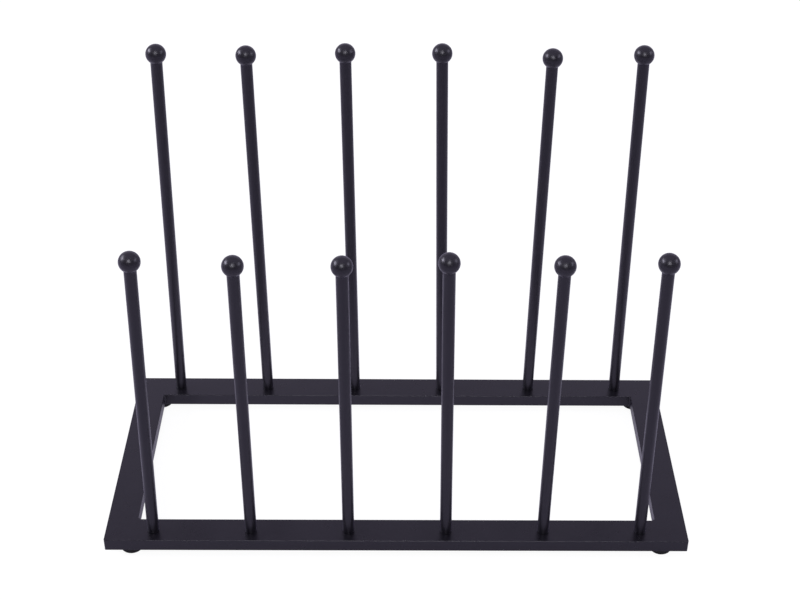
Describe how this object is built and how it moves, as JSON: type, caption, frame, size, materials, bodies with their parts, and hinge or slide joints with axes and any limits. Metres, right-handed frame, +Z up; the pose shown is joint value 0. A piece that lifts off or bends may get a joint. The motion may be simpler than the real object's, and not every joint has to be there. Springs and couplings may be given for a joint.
{
  "type": "boot rack",
  "caption": "Free-standing rack for wellington boots: a flat tube frame on rubber feet with a short front row and a tall back row of ball-topped posts.",
  "frame": {"origin": "on the floor under the middle of the frame, at the underside of the feet", "axes": "+X along the rack, left to right seen from the front; +Y from the front row to the back row; +Z up"},
  "size_m": [0.6, 0.263, 0.4606],
  "materials": {
    "powder_coat": "satin black powder coat",
    "ball_coat": "smooth satin black coat",
    "foot_rubber": "matt moulded",
    "zinc_plate": "bright zinc plate",
    "plug_steel": "turned steel"
  },
  "bodies": {
    "root": {"back_ball_1": "ball_coat", "back_ball_2": "ball_coat", "back_ball_3": "ball_coat", "back_ball_4": "ball_coat", "back_ball_5": "ball_coat", "back_ball_6": "ball_coat", "back_left_foot": "foot_rubber", "back_left_weld": "powder_coat", "back_plug_1": "plug_steel", "back_plug_2": "plug_steel", "back_plug_3": "plug_steel", "back_plug_4": "plug_steel", "back_plug_5": "plug_steel", "back_plug_6": "plug_steel", "back_post_1": "powder_coat", "back_post_2": "powder_coat", "back_post_3": "powder_coat", "back_post_4": "powder_coat", "back_post_5": "powder_coat", "back_post_6": "powder_coat", "back_post_screws": "zinc_plate", "back_post_washers": "zinc_plate", "back_rail": "powder_coat", "back_right_foot": "foot_rubber", "back_right_weld": "powder_coat", "foot_screws": "zinc_plate", "foot_washers": "zinc_plate", "front_ball_1": "ball_coat", "front_ball_2": "ball_coat", "front_ball_3": "ball_coat", "front_ball_4": "ball_coat", "front_ball_5": "ball_coat", "front_ball_6": "ball_coat", "front_left_foot": "foot_rubber", "front_left_weld": "powder_coat", "front_plug_1": "plug_steel", "front_plug_2": "plug_steel", "front_plug_3": "plug_steel", "front_plug_4": "plug_steel", "front_plug_5": "plug_steel", "front_plug_6": "plug_steel", "front_post_1": "powder_coat", "front_post_2": "powder_coat", "front_post_3": "powder_coat", "front_post_4": "powder_coat", "front_post_5": "powder_coat", "front_post_6": "powder_coat", "front_post_screws": "zinc_plate", "front_post_washers": "zinc_plate", "front_rail": "powder_coat", "front_right_foot": "foot_rubber", "front_right_weld": "powder_coat", "left_side_rail": "powder_coat", "right_side_rail": "powder_coat"}
  },
  "joints": []
}
